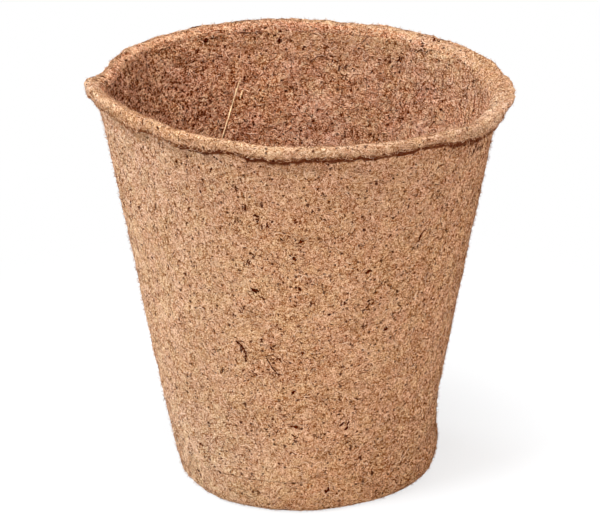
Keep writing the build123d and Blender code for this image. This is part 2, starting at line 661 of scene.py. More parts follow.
@dataclass
class Strands:
    """Many thin closed tubes at once, each following its own line of points."""

    lines: Array
    widths: Array
    upright: Array
    tones: Array
    flatness: float = 0.6
    sides: int = 3
    map_width: float = 0.012

    def draft(self) -> MeshDraft:
        """Rings of points round every line, joined along it, with a fan of triangles on each end.

        A ring stands square to its line: sideways is the felt's outward direction crossed with the line's,
        and the ring is an ellipse, flatness times as thick as it is wide. The map's across holds the strand's
        tone and its up holds the place along the strand.

        Returns:
            The mesh as arrays.
        """
        count, steps = self.widths.shape
        forward = unit(np.gradient(self.lines, axis=1))
        side = unit(np.cross(self.upright[:, None, :], forward))
        over = np.cross(forward, side)
        angle = (np.arange(self.sides) * 2.0 * np.pi / self.sides + 0.5)[:, None]
        half = self.widths[:, :, None, None] / 2.0
        ring = np.cos(angle) * side[:, :, None, :] + self.flatness * np.sin(angle) * over[:, :, None, :]
        points = self.lines[:, :, None, :] + half * ring
        index = np.arange(count * steps * self.sides).reshape(count, steps, self.sides)
        near, far = index[:, :-1], index[:, 1:]
        quads = np.stack([near, np.roll(near, -1, 2), np.roll(far, -1, 2), far], axis=-1).reshape(-1, 4)
        across = self.tones[:, None, None] + self.map_width * np.arange(self.sides + 1) / self.sides
        across = np.broadcast_to(across, (count, steps, self.sides + 1))
        along = np.broadcast_to(np.linspace(0.03, 0.97, steps)[None, :, None], across.shape)
        cells = np.stack([across, along], axis=-1)
        corners = [cells[:, :-1, :-1], cells[:, :-1, 1:], cells[:, 1:, 1:], cells[:, 1:, :-1]]
        spots = np.stack(corners, axis=-2)
        fans = [(0, s + 1, s) for s in range(1, self.sides - 1)]
        ends = [index[:, 0][:, fan] for fan in fans] + [index[:, -1][:, fan[::-1]] for fan in fans]
        triangles = np.stack(ends, axis=1).reshape(-1, 3)
        cap = np.array([[0.0, 0.004], [self.map_width, 0.004], [self.map_width / 2.0, 0.016]])
        start_map = cap + np.stack([self.tones, np.zeros(count)], axis=-1)[:, None, :]
        end_map = start_map + np.array([0.0, 0.975])
        caps = np.stack([start_map] * len(fans) + [end_map] * len(fans), axis=1).reshape(-1, 3, 2)
        return MeshDraft(points.reshape(-1, 3), quads, triangles, spots.reshape(-1, 4, 2), caps)


@dataclass(frozen=True)
class Sowing:
    """How one kind of strand is scattered over a face of the felt, or laid on it."""

    count: int
    length: Range = (0.0, 0.0)
    width: Range = (0.0, 0.0)
    tone: Range = (0.0, 0.0)
    lift: Range = (0.0, 0.0)
    rear: float = 0.0
    curl: float = 0.5
    steps: int = 4
    taper: float = 0.35
    flatness: float = 0.6
    level: float = 0.0
    uneven: float = 0.0
    span: Range = (0.0, 1.0)
    cluster: int = 1
    gather: float = 0.5

    def scatter(self, skin: Skin, seed: int) -> Strands:
        """Lays strands at random on a face.

        A strand's middle is spread evenly over the face's area, or gathered round one of the clusters'
        middles. Its line is an arc in the face: a straight reach along a random direction, bent sideways by
        curl times the reach squared over its length. Every point is put on the lumpy face and lifted off it,
        and rear lifts the far end more.

        Args:
            skin: the face.
            seed: which scatter.

        Returns:
            The strands.
        """
        rng = np.random.default_rng(seed)
        shares = np.linspace(*self.span, 400)
        crowd = np.cumsum(np.maximum(skin.profile(shares)[0], 0.2))
        middles = self.count // self.cluster
        share = np.repeat(np.interp(rng.random(middles) * crowd[-1], crowd, shares), self.cluster)
        turn = np.repeat(rng.random(middles) * 2.0 * np.pi, self.cluster)
        if self.cluster > 1:
            stray = rng.normal(0.0, self.gather, (2, self.count))
            share = np.clip(share + stray[0] / skin.length, *self.span)
            turn = turn + stray[1] / np.maximum(skin.profile(share)[0], 1.0)
        length = rng.uniform(*self.length, self.count) * rng.uniform(0.7, 1.0, self.count)
        width = rng.uniform(*self.width, self.count)
        heading = rng.uniform(0.0, ROUND, self.count)
        heading = np.where(rng.random(self.count) < self.level, rng.normal(0.0, 0.35, self.count), heading)
        bend = rng.normal(0.0, self.curl, self.count)
        tone = rng.uniform(*self.tone, self.count)
        lift = rng.uniform(*self.lift, self.count)
        rear = self.rear * rng.uniform(0.3, 1.0, self.count)
        return self.lay(skin, turn, share, length, width, heading, bend, tone, lift, rear)

    def lay(self, skin: Skin, turn: Array, share: Array, *looks: Array) -> Strands:
        """Lays strands at given places on a face, thicker and thinner along them where they are uneven.

        Args:
            skin: the face.
            turn: turns of their middles.
            share: shares of the profile of their middles.
            looks: their lengths, widths at the middle, headings in the face (0 level, a quarter turn along
                the profile), sideways bends as a share of the length, tones on the colour ramp, distances
                off the felt, and extra distances at the far end.

        Returns:
            The strands.
        """
        length, width, heading, bend, tone, lift, rear = (look[:, None] for look in looks)
        along = np.linspace(-0.5, 0.5, self.steps)
        reach = length * along
        sway = bend * length * (along**2 - 0.08) * 2.0
        level = reach * np.cos(heading) - sway * np.sin(heading)
        climb = reach * np.sin(heading) + sway * np.cos(heading)
        radius = np.maximum(skin.profile(share)[0], 1.0)
        shares = np.clip(share[:, None] + climb / skin.length, 0.001, 0.999)
        spots, out = skin.felt(turn[:, None] + level / radius[:, None], shares)
        rise = lift + rear * (along + 0.5) ** 1.5
        lines = spots + out * rise[..., None]
        body = self.taper + (1.0 - self.taper) * np.cos(np.pi * along) ** 0.7
        knots = np.random.default_rng(self.steps).uniform(-1.0, 1.0, (len(width), self.steps))
        widths = width * body * (1.0 + self.uneven * knots)
        lines[..., 2] = np.maximum(lines[..., 2], 0.5 * widths)
        return Strands(lines, widths, out[:, self.steps // 2], tone[:, 0] * 0.96 + 0.01, self.flatness)


class Wire:
    """A shader socket that takes part in Python arithmetic by adding Math nodes."""

    def __init__(self, graph: Graph, socket: bpy.types.NodeSocket) -> None:
        """Keeps the socket and the graph that it is in."""
        self.graph = graph
        self.socket = socket

    def sibling(self, output: str) -> Wire:
        """A wire from another output of the same node."""
        return Wire(self.graph, self.socket.node.outputs[output])

    def __add__(self, other: Wire | float) -> Wire:
        """Sum."""
        return self.graph.math("ADD", self, other)

    def __radd__(self, other: float) -> Wire:
        """Sum with a number on the left."""
        return self.graph.math("ADD", other, self)

    def __sub__(self, other: Wire | float) -> Wire:
        """Difference."""
        return self.graph.math("SUBTRACT", self, other)

    def __rsub__(self, other: float) -> Wire:
        """Difference from a number."""
        return self.graph.math("SUBTRACT", other, self)

    def __mul__(self, other: Wire | float) -> Wire:
        """Product."""
        return self.graph.math("MULTIPLY", self, other)

    def __rmul__(self, other: float) -> Wire:
        """Product with a number on the left."""
        return self.graph.math("MULTIPLY", other, self)

    def __pow__(self, other: float) -> Wire:
        """Power."""
        return self.graph.math("POWER", self, other)

    def __abs__(self) -> Wire:
        """Size without sign."""
        return self.graph.math("ABSOLUTE", self)


class Graph:
    """The node tree of one material or world, filled through one node-making method."""

    def __init__(self, owner: bpy.types.Material | bpy.types.World) -> None:
        """Gives the owner an empty tree."""
        owner.use_nodes = True
        self.tree = owner.node_tree
        self.tree.nodes.clear()

    def node(
        self,
        kind: str,
        settings: dict[str, Any] | None = None,
        sockets: dict[str | int, Any] | None = None,
        output: str | int = 0,
    ) -> Wire | None:
        """Adds a node, sets it up, and fills its sockets.

        Args:
            kind: Blender's name for the node's type.
            settings: properties set before the sockets; stops are a ramp's places and colours.
            sockets: values, or wires to link, by the sockets' names or numbers.
            output: the output to hand back.

        Returns:
            A wire from that output, or None where the node has none.
        """
        made = self.tree.nodes.new(kind)
        for key, value in (settings or {}).items():
            if key == "stops":
                elements = made.color_ramp.elements
                while len(elements) < len(value):
                    elements.new(0.5)
                for element, (place, colour) in zip(elements, value):
                    element.position = place
                    element.color = (*colour, 1.0)
            else:
                setattr(made, key, value)
        for key, value in (sockets or {}).items():
            if isinstance(value, Wire):
                self.tree.links.new(value.socket, made.inputs[key])
            else:
                made.inputs[key].default_value = value
        return Wire(self, made.outputs[output]) if len(made.outputs) else None

    def math(self, operation: str, *values: Wire | float) -> Wire:
        """A Math node on the values."""
        return self.node("ShaderNodeMath", {"operation": operation}, dict(enumerate(values)))

    def step(self, value: Wire, low: float, high: float) -> Wire:
        """Smooth step of a value, 0 at low and 1 at high."""
        settings = {"interpolation_type": "SMOOTHSTEP"}
        return self.node("ShaderNodeMapRange", settings, {"Value": value, "From Min": low, "From Max": high})

    def ramp(self, factor: Wire, colours: Stops) -> Wire:
        """A colour ramp."""
        return self.node("ShaderNodeValToRGB", {"stops": colours}, {"Fac": factor})

    def mix(self, factor: Wire | float, first: Wire, second: Wire | Colour, blend: str = "MIX") -> Wire:
        """Mixes two colours, the second given as a wire or as red, green and blue."""
        settings = {"data_type": "RGBA", "blend_type": blend}
        second = second if isinstance(second, Wire) else (*second, 1.0)
        return self.node("ShaderNodeMix", settings, {0: factor, 6: first, 7: second}, 2)

    def part(self, vector: Wire, axis: str) -> Wire:
        """One part of a vector."""
        return self.node("ShaderNodeSeparateXYZ", {}, {"Vector": vector}, axis)

    def brighter(self, colour: Wire, times: Wire) -> Wire:
        """A colour multiplied by a value."""
        return self.node("ShaderNodeVectorMath", {"operation": "SCALE"}, {0: colour, "Scale": times})


@dataclass(frozen=True)
class Cloud:
    """One layer of cloudy values: size, detail, which one it is, how bent it is, and its stretch."""

    size: float
    detail: float
    seed: float
    distortion: float = 0.0
    stretch: Colour = EVEN


@dataclass
class Weather:
    """Patterns in the space of one material, on Object coordinates, with sizes in millimetres."""

    graph: Graph
    shift: Colour = (0.37, 0.71, 0.53)
    coordinates: Wire = field(init=False)

    def __post_init__(self) -> None:
        """Reads the Object coordinates once."""
        self.coordinates = self.graph.node("ShaderNodeTexCoord", output="Object")

    def moved(self, seed: float, turn: Colour = (0.0, 0.0, 0.0), stretch: Colour = EVEN) -> Wire:
        """Coordinates shifted by a seed, turned, and stretched along their own axes."""
        sockets = {
            "Vector": self.coordinates,
            "Location": tuple(x * seed for x in self.shift),
            "Rotation": turn,
            "Scale": tuple(1.0 / x for x in stretch),
        }
        return self.graph.node("ShaderNodeMapping", {}, sockets)

    def noise(self, size: float, detail: float, place: Wire, distortion: float = 0.0) -> Wire:
        """Cloudy values about 0.5."""
        sockets = {"Vector": place, "Scale": 1.0 / (size * MM), "Detail": detail, "Distortion": distortion}
        return self.graph.node("ShaderNodeTexNoise", {}, sockets)

    def cloud(self, layer: Cloud) -> Wire:
        """Cloudy values of one layer."""
        place = self.moved(layer.seed, stretch=layer.stretch)
        return self.noise(layer.size, layer.detail, place, layer.distortion)

    def strokes(self, size: float, thin: float, seed: float, stretch: Colour) -> Wire:
        """Short curved lines: where cloudy values pass their middle, cut into lengths by other cloudy values.

        Args:
            size: the clouds' size, which sets how tightly the lines bend.
            thin: how far from their middle the values may be on a line.
            seed: which lines.
            stretch: how much longer the lines run along each axis.

        Returns:
            1 on the lines and 0 between them.
        """
        line = abs(self.noise(size, 0.0, self.moved(seed, (0.4 * seed, 0.3, 0.2 * seed), stretch), 0.3) - 0.5)
        length = self.noise(0.8 * size, 0.0, self.moved(seed + 0.5))
        return self.graph.step(line, thin, 0.25 * thin) * self.graph.step(length, 0.46, 0.54)

    def crossing(self, layers: Strokes) -> Wire:
        """Layers of strokes laid over each other, each given as in strokes."""
        total, *others = [self.strokes(*layer) for layer in layers]
        for layer in others:
            total = self.graph.math("MAXIMUM", total, layer)
        return total

    def flecks(self, size: float, least: float, most: float, place: Wire) -> Wire:
        """Scattered specks: round each cell's point, up to a radius that the cell draws at random.

        Args:
            size: the cells' spacing.
            least: the share of cells that stay empty.
            most: the largest speck's radius, as a share of the spacing.
            place: the coordinates.

        Returns:
            1 in the specks and 0 between them.
        """
        sockets = {"Vector": place, "Scale": 1.0 / (size * MM)}
        cells = self.graph.node("ShaderNodeTexVoronoi", {"feature": "F1"}, sockets)
        chance = self.graph.node("ShaderNodeSeparateColor", {}, {"Color": cells.sibling("Color")})
        radius = (chance - least) * (most / (1.0 - least))
        return self.graph.step(radius - cells, 0.0, 0.09)


class Finish:
    """A matt material made of nodes."""

    def shade(self, graph: Graph, shader: dict[str, Any]) -> None:
        """Ends the graph in a Principled shader with the given sockets and no gloss."""
        surface = graph.node("ShaderNodeBsdfPrincipled", {}, shader | {"Specular IOR Level": 0.0})
        graph.node("ShaderNodeOutputMaterial", {}, {"Surface": surface})


@dataclass(frozen=True)
class FeltFinish(Finish):
    """Pressed peat and wood fibre: a matt mat of fine tan fibres with dark specks, redder on the inside."""

    outer_stops: Stops = stops(
        (0.0, 86, 22, 0), (0.25, 147, 85, 38), (0.5, 193, 139, 97),
        (0.75, 220, 171, 131), (1.0, 243, 202, 166),
    )
    inner_stops: Stops = stops(
        (0.0, 66, 6, 0), (0.25, 126, 60, 21), (0.5, 191, 122, 82),
        (0.75, 223, 160, 122), (1.0, 249, 204, 170),
    )
    tint_stops: Stops = ((0.38, (1.008, 0.982, 0.995)), (0.62, (0.994, 1.012, 0.950)))  # rosy, ochre
    zone_stops: Stops = ((0.36, (0.990, 0.972, 1.0)), (0.64, (1.010, 1.018, 0.955)))  # mauve, straw brown
    dark: Colour = shown(58, 4, 0)
    # painted shade: the colour that the crease under the flap and the heel's fold are darkened towards
    crease_shade: Colour = shown(88, 32, 8)
    # cooler, paler tint: partly wear, partly painted light on the lit left side and the crown's top
    wear_and_light_tint: Colour = (0.94, 1.02, 1.13)
    smudged: Colour = (0.84, 0.70, 0.69)
    earthy: Colour = (1.0, 0.975, 0.90)
    # painted shade under the rim's flap
    under_rim_shade: Colour = (0.965, 0.955, 0.985)
    pale_strokes: Strokes = (
        (0.9, 0.050, 4.0, EVEN), (1.2, 0.045, 5.0, (1.0, 1.0, 2.0)), (0.75, 0.055, 11.0, (1.7, 1.7, 1.0))
    )
    dark_strokes: Strokes = (
        (0.8, 0.050, 6.0, EVEN), (1.1, 0.045, 8.0, (1.6, 1.6, 1.0)), (0.7, 0.055, 12.0, (1.0, 1.0, 1.8))
    )
    long_pale: Strokes = (
        (3.0, 0.022, 15.0, (1.0, 1.0, 1.6)), (2.4, 0.026, 16.0, (1.5, 1.5, 1.0))
    )
    long_dark: Strokes = (
        (2.8, 0.024, 17.0, (1.6, 1.6, 1.0)), (2.2, 0.028, 18.0, (1.0, 1.0, 1.5))
    )
    grain: Cloud = Cloud(0.20, 0.0, 0.0, 0.8, (1.0, 1.7, 1.0))
    clump: Cloud = Cloud(0.75, 1.0, 9.0, 0.3, (1.0, 1.7, 1.0))
    tuft: Cloud = Cloud(0.45, 0.0, 19.0, 0.6, (1.0, 2.0, 1.0))
    coarse: Cloud = Cloud(1.9, 2.0, 1.0, 0.3)
    mottle: Cloud = Cloud(5.5, 2.0, 2.0)
    patch: Cloud = Cloud(19.0, 1.0, 3.0)
    tint: Cloud = Cloud(3.4, 1.0, 10.0)
    zone: Cloud = Cloud(8.0, 1.0, 13.0)
    smudge: Cloud = Cloud(1.5, 1.0, 14.0, 0.4)
    smudge_step: Range = (0.61, 0.73)
    swirl_size: float = 0.5
    swirl_reach: float = 0.4
    specks: Colour = (2.1, 0.45, 0.22)
    dots: Colour = (1.05, 0.35, 0.36)
    slivers: Colour = (2.4, 0.45, 0.20)
    roughness: float = 0.95
    relief: float = 0.30
    relief_strength: float = 0.9

    def material(self) -> bpy.types.Material:
        """Builds the material.

        The mat's tone is fine grain, pale and dark strokes and soft mottling added up, with longer strokes on
        the inside and tufts where it is shaggier, darkened there on the inside by painted shade. Ramps from
        dark gaps to pale fibre ends give its colour, which tints and the height change, earthy at the foot
        and with painted shade under the rim's flap. Paleness that is partly wear and partly painted light
        lifts the tone and cools the colour. Smudges and specks of three sizes darken it, and painted shade
        darkens the crease under the flap and the fold above the heel. The tone also raises the surface.

        Returns:
            The material.
        """
        made = bpy.data.materials.new("pressed_peat_felt")
        graph = Graph(made)
        weather = Weather(graph)
        inside, crease, worn = (
            graph.node("ShaderNodeAttribute", {"attribute_name": name}, output="Fac")
            for name in (INSIDE, CREASE_SHADE, WEAR_AND_LIGHT)
        )
        paler_by_wear_and_light = graph.math("MAXIMUM", worn, 0.0)
        shaggy_and_shaded = graph.math("MAXIMUM", 0.0 - worn, 0.0)
        layers = (self.grain, self.clump, self.tuft, self.coarse, self.mottle, self.patch)
        grain, clump, tuft, coarse, mottle, patch = (weather.cloud(layer) for layer in layers)
        pale, gaps = weather.crossing(self.pale_strokes), weather.crossing(self.dark_strokes)
        streaks = 0.22 * weather.crossing(self.long_pale) - 0.24 * weather.crossing(self.long_dark)
        fine = 1.45 * (grain - 0.5) + (0.12 + 0.55 * inside) * (clump - 0.5) + 0.25 * pale - 0.28 * gaps
        fine = (fine + inside * streaks) * (1.08 + 0.1 * inside - 0.04 * paler_by_wear_and_light + 0.15 * shaggy_and_shaded)
        # tufts where the felt is shaggier, and painted shade on the inside there
        fine = fine + shaggy_and_shaded * (2.6 * (tuft - 0.5) - 0.14 * inside)
        broad = (0.22 + 0.02 * inside) * (coarse - 0.5) + 0.22 * (mottle - 0.5) + 0.18 * (patch - 0.5)
        # the pale part lifts the tone: partly wear, partly painted light
        tone = 0.62 + 0.07 * inside + 0.12 * paler_by_wear_and_light + fine + broad * (1.0 + 1.2 * inside)
        colour = graph.mix(inside, graph.ramp(tone, self.outer_stops), graph.ramp(tone, self.inner_stops))
        tint = graph.ramp(weather.cloud(self.tint), self.tint_stops)
        colour = graph.mix(1.0, colour, tint, "MULTIPLY")
        zone = graph.ramp(weather.cloud(self.zone), self.zone_stops)
        colour = graph.mix(inside, colour, graph.mix(1.0, colour, zone, "MULTIPLY"))
        level = graph.ramp(graph.part(weather.coordinates, "Z") * (1.0 / (100.0 * MM)), self.levels())
        # on the outside: earthy at the foot, and painted shade under the rim's flap
        colour = graph.mix(inside, graph.mix(1.0, colour, level, "MULTIPLY"), colour)
        # paler and cooler: partly wear, partly painted light
        colour = graph.mix(paler_by_wear_and_light, colour, self.wear_and_light_tint, "MULTIPLY")
        smudge = graph.step(weather.cloud(self.smudge), *self.smudge_step)
        colour = graph.mix(0.5 * smudge, colour, self.smudged, "MULTIPLY")
        swirl = {"Vector": weather.moved(0.0), "Scale": 1.0 / (self.swirl_size * MM)}
        push = graph.node("ShaderNodeTexNoise", {}, swirl, "Color")
        bend = {0: push, 1: (self.swirl_reach * MM,) * 3, 2: weather.moved(7.0)}
        bent = graph.node("ShaderNodeVectorMath", {"operation": "MULTIPLY_ADD"}, bend)
        long = weather.moved(8.0, (0.3, 0.2, 0.0), (0.8, 0.8, 2.2))
        large = graph.math("MAXIMUM", weather.flecks(*self.specks, bent), weather.flecks(*self.slivers, long))
        colour = graph.mix(0.85 * weather.flecks(*self.dots, bent), colour, self.dark)
        colour = graph.mix(0.9 * large, colour, self.dark)
        # painted shade in the crease under the flap and along the heel's fold, made ragged by the grain
        torn = crease * (1.0 + 1.2 * (grain - 0.5) + 1.8 * (coarse - 0.5))
        colour = graph.mix(graph.step(torn, 0.12, 0.75) * 0.95, colour, self.crease_shade)
        raised = {"Strength": self.relief_strength, "Distance": self.relief * MM, "Height": tone}
        bump = graph.node("ShaderNodeBump", {}, raised)
        self.shade(graph, {"Base Color": colour, "Roughness": self.roughness, "Normal": bump})
        return made

    def levels(self) -> Stops:
        """Tints over the height, in shares of 100 mm: earthy at the foot, painted shade under the rim's flap.
        """
        low = ((0.03, self.earthy), (0.15, EVEN), (0.55, EVEN))
        return low + ((0.70, self.under_rim_shade), (0.755, self.under_rim_shade), (0.775, EVEN))


@dataclass(frozen=True)
class StrandFinish(Finish):
    """Loose fibres: the map's across picks each strand's colour, and its ends are darker than its middle."""

    name: str
    colours: Stops
    end_shade: float = 0.98
    roughness: float = 0.85

    def material(self) -> bpy.types.Material:
        """Builds the material: the ramp's colour, darkened by rings and by the squared way from the middle.

        Returns:
            The material.
        """
        made = bpy.data.materials.new(self.name)
        graph = Graph(made)
        spot = graph.node("ShaderNodeUVMap", {"uv_map": BAKE_MAP})
        colour = graph.ramp(graph.part(spot, "X"), self.colours)
        middle = 1.0 - self.end_shade * abs(graph.part(spot, "Y") - 0.5) ** 2.0
        sockets = {"Vector": spot, "Scale": 4.0, "Distortion": 6.0}
        rings = graph.node("ShaderNodeTexWave", {"bands_direction": "Y"}, sockets)
        colour = graph.brighter(colour, middle * (0.88 + 0.2 * rings))
        self.shade(graph, {"Base Color": colour, "Roughness": self.roughness})
        return made


class Tone(Enum):
    """The colours that strands are dyed with, from a ramp's start to its end."""

    OUTER = stops((0.0, 104, 50, 13), (0.3, 166, 112, 70), (0.7, 213, 164, 127), (1.0, 247, 208, 174))
    INNER = stops((0.0, 68, 14, 0), (0.3, 144, 79, 41), (0.7, 214, 155, 118), (1.0, 254, 210, 178))
    BARK = stops((0.0, 46, 4, 0), (0.6, 76, 20, 2), (1.0, 114, 52, 20))
    STRAW = stops((0.0, 214, 150, 98), (0.5, 248, 194, 140), (1.0, 255, 222, 176))

    def finish(self) -> bpy.types.Material:
        """The material of strands in these colours."""
        return StrandFinish(self.name.lower() + "_strands", self.value).material()


@dataclass(frozen=True)
class Mark:
    """One bit that shows by itself in the felt: where its middle lies on a face, its size and how it lies."""

    turn: float
    height: float
    length: float
    width: float
    heading: float = 0.0
    bend: float = 0.0


@dataclass(frozen=True)
class Seen:
    """One dark bit as the photograph shows it: pixel across and down, then size, and heading from level."""

    across: float
    down: float
    length: float
    width: float
    heading: float = 0.0
    bend: float = 0.0


@dataclass
class Pot:
    """The whole pot: its faces, the felt pieces on them, and what is strewn in the felt."""

    form: PotForm
    columns: int = 480
    rim_columns: int = 720
    wall_rows: int = 188
    back_rows: int = 16
    rim_rows: int = 64
    base_rows: int = 150
    flap_gap: float = 0.3
    crease_reach: float = 1.2
    fold_shade: float = 0.28
    soft_reach: float = 3.6
    shred_stray: float = 0.22
    shred_length: Range = (0.35, 0.9)
    shred_width: Range = (0.35, 0.75)
    shred_turn: float = 30.0
    long_shade: Swells = Swells(((213, 14, -0.6), (330, 12, 0.35)))
    soft_shade: Swells = Swells(((332, 14, 0.34),))
    dyes: dict[Tone, bpy.types.Material] = field(default_factory=dict)
    outer: Skin = field(init=False)
    inner: InnerSkin = field(init=False)
    rim: RimSkin = field(init=False)
    base: BaseSkin = field(init=False)

    def __post_init__(self) -> None:
        """Draws the profiles of the faces, the rim's and the base's with rounded corners."""
        form, gap = self.form, self.flap_gap
        foot, top, high, low = form.wall_foot, form.wall_top, form.height, form.rim_low
        flap = form.rim_radius - form.outer(low) - 0.3
        hook = [
            (form.outer(top), top, 0.0),
            (form.outer(top) + gap, top - 0.05, 0.12),
            (form.outer(low) + gap, low + 0.65, 0.3),
            (form.outer(low) + gap + flap - 0.1, low, 0.42),
            (form.outer(high) + gap + flap - 0.1, high - 0.25, 1.1),
            (form.outer(high) + 0.5, high, 0.9),
            (form.inner(high) + 0.55, high - 0.65, 0.8),
            (form.inner(top), top, 0.0),
        ]
        dish = [
            (0.0, 0.0, 0.0),
            (form.outer(0.0) + 0.1, 0.0, 1.2, 3.4),
            (form.outer(foot), foot, 0.0),
            (form.inner(foot), foot, 0.0),
            (form.inner(form.floor), form.floor, 2.6),
            (0.0, form.floor, 0.0),
        ]
        loose = ((6.0, 0.20), (2.4, 0.15), (1.0, 0.09))
        self.outer = Skin(form, np.array([(form.outer(foot), foot), (form.outer(top), top)]))
        self.inner = InnerSkin(form, np.array([(form.inner(top), top), (form.inner(foot), foot)]), loose)
        self.rim = RimSkin(form, rounded_path(hook), ((6.0, 0.18), (2.2, 0.16), (0.95, 0.11)))
        self.base = BaseSkin(form, rounded_path(dish))

    def keep(self, piece: bpy.types.Object, slot: str, *nodes: str) -> None:
        """Rides a piece on the pot, hides the solids that it replaces, and reports it.

        Args:
            piece: the new object.
            slot: not used.
            nodes: solids that it replaces.
        """
        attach(piece, BODY)
        if nodes:
            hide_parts(*nodes)
        log.info("%s: %d faces", piece.name, len(piece.data.polygons))

    def wall_face(self, skin: Skin, name: str, felt: bpy.types.Material) -> None:
        """One face of the wall as a closed shell, backed by a plain surface in the middle of the wall.

        The outer face carries painted shade where it lies less than a ragged reach below the flap's edge,
        softly further down on the right, and along the heel's fold.

        Args:
            skin: the outer or inner face.
            name: the piece's name.
            felt: its material.
        """
        turn, share = grid(self.columns, self.wall_rows)
        round_back, once = turn[: self.back_rows], turn[:1]
        heights = np.linspace(skin.path[-1, 1], skin.path[0, 1], self.back_rows)[:, None] + 0.0 * round_back
        back = self.form.place(round_back, self.form.outer(heights) - self.form.wall / 2.0, heights)
        inside = np.concatenate([skin.inside(turn, share), skin.inside(round_back, share[:1])])
        worn = np.concatenate([skin.worn(turn, share), np.zeros_like(round_back)])
        hidden = np.concatenate([skin.profile(share)[1], np.full_like(round_back, self.form.height)])
        reach = self.crease_reach * (1.0 + 0.25 * ring_wave(once, 60, 12) + self.long_shade.at(once))
        below = (self.rim.edge(once) - hidden) / reach
        soft = self.soft_shade.at(once) * ease(self.soft_reach, 0.0, below * reach)
        crease = np.maximum(ease(1.0, 0.5, below), soft)
        fold = self.fold_shade * self.form.fold(once, hidden)
        crease = np.maximum(crease, fold) * float(skin is self.outer)
        rows = np.concatenate([skin.felt(turn, share)[0], back])
        draft = ring_draft(rows, {INSIDE: inside, CREASE_SHADE: crease, WEAR_AND_LIGHT: worn}, poles=False)
        self.keep(draft.to_object(name, felt), PEAT, "side_wall")

    def rolled_rim(self, felt: bpy.types.Material) -> None:
        """The rim as a closed ring, hooked in section."""
        rim, place = self.rim, grid(self.rim_columns, self.rim_rows)
        values = {INSIDE: rim.inside(*place), CREASE_SHADE: rim.crease(*place), WEAR_AND_LIGHT: rim.worn(*place)}
        draft = ring_draft(rim.felt(*place)[0], values, poles=False)
        self.keep(draft.to_object("rim_felt", felt), PEAT, "rolled_rim")

    def dished_base(self, felt: bpy.types.Material) -> None:
        """The base as a closed dish, with its middle points on the axis and nothing below the ground."""
        turn, share = grid(self.columns, self.base_rows)
        points = self.base.felt(turn, share)[0]
        points[..., 2] = np.maximum(points[..., 2], 0.0)
        inside = self.base.inside(turn, share)
        # painted shade along the heel's fold, on the outer faces only
        fold = self.fold_shade * self.form.fold(turn, self.base.profile(share)[1]) * (1.0 - inside)
        values = {INSIDE: inside, CREASE_SHADE: fold, WEAR_AND_LIGHT: self.base.worn(turn, share)}
        self.keep(ring_draft(points, values, poles=True).to_object("base_felt", felt), PEAT, "base")

    def dyed(self, tone: Tone) -> bpy.types.Material:
        """The one material of strands in these colours."""
        if tone not in self.dyes:
            self.dyes[tone] = tone.finish()
        return self.dyes[tone]

    def strew(self) -> None:
        """Scatters the loose fibres, fuzz and bark over the faces, each row of the table as one piece."""
        under_flap, open_rim = {"span": (0.0, 0.965)}, {"span": (0.26, 1.0)}
        fine = dict(length=(1.0, 3.2), width=(0.08, 0.15), tone=(0.0, 1.0), lift=(0.0, 0.05))
        long = fine | dict(length=(1.2, 4.2), width=(0.08, 0.14), curl=0.35)
        short = fine | dict(length=(0.8, 2.4), level=0.15)
        pale = dict(length=(0.8, 3.0), width=(0.12, 0.23), tone=(0.75, 1.0), lift=(0.02, 0.08), curl=0.6)
        streak = pale | dict(length=(0.9, 3.2), width=(0.14, 0.23), tone=(0.7, 1.0))
        brown = dict(length=(0.5, 1.8), width=(0.07, 0.13), tone=(0.0, 0.2), lift=(0.02, 0.06), steps=3)
        fuzz = dict(length=(0.5, 1.5), width=(0.07, 0.13), tone=(0.0, 1.0), lift=(0.0, 0.02), steps=3)
        fringe = fuzz | dict(length=(0.4, 1.1), tone=(0.1, 0.8))
        chips = dict(length=(0.25, 0.85), width=(0.14, 0.32), tone=(0.0, 0.9), lift=(0.0, 0.03), curl=0.3)
        chips = chips | dict(flatness=0.35)
        outer, inner, rim, base = self.outer, self.inner, self.rim, self.base
        table = (
            ("outer_fibres", PEAT, Tone.OUTER, 11, (outer, 8500, fine | under_flap)),
            ("inner_fibres", PEAT, Tone.INNER, 21, (inner, 8500, long)),
            ("rim_fibres", PEAT, Tone.OUTER, 31, (rim, 3000, short | open_rim)),
            ("pale_fibres", PEAT, Tone.OUTER, 101,
                (outer, 1500, pale | under_flap), (rim, 420, pale | open_rim), (base, 900, pale)),
            ("lining_fibres", PEAT, Tone.INNER, 111, (inner, 2500, streak)),
            ("dark_fibres", PEAT, Tone.INNER, 121,
                (outer, 2800, brown | under_flap), (inner, 2200, brown), (base, 700, brown)),
            ("base_fibres", PEAT, Tone.OUTER, 41, (base, 4200, fine)),
            ("outer_fuzz", PEAT, Tone.OUTER, 51,
                (outer, 10500, fuzz | dict(rear=0.6, span=(0.0, 0.96))),
                (base, 2200, fuzz | dict(rear=0.5, span=(0.38, 0.53)))),
            ("rim_fuzz", PEAT, Tone.OUTER, 61,
                (rim, 1500, fuzz | open_rim | dict(rear=0.55)),
                (rim, 1700, fringe | dict(rear=0.4, span=(0.30, 0.42))),
                (rim, 900, fringe | dict(rear=0.5, span=(0.62, 0.85))),
                (outer, 800, fringe | dict(rear=0.4, span=(0.945, 0.975)))),
            ("inner_fuzz", PEAT, Tone.INNER, 66, (inner, 7000, fuzz | dict(rear=0.5))),
            ("bark_bits", "rootlet", Tone.BARK, 71,
                (outer, 2600, chips), (outer, 1300, chips | dict(cluster=5)),
                (inner, 1800, chips), (inner, 900, chips | dict(cluster=6)),
                (rim, 380, chips | open_rim), (base, 750, chips)),
        )
        for name, slot, tone, seed, *sowings in table:
            drafts = [
                Sowing(count, **kind).scatter(skin, seed + i).draft()
                for i, (skin, count, kind) in enumerate(sowings)
            ]
            self.keep(joined(drafts).to_object(name, self.dyed(tone)), slot)

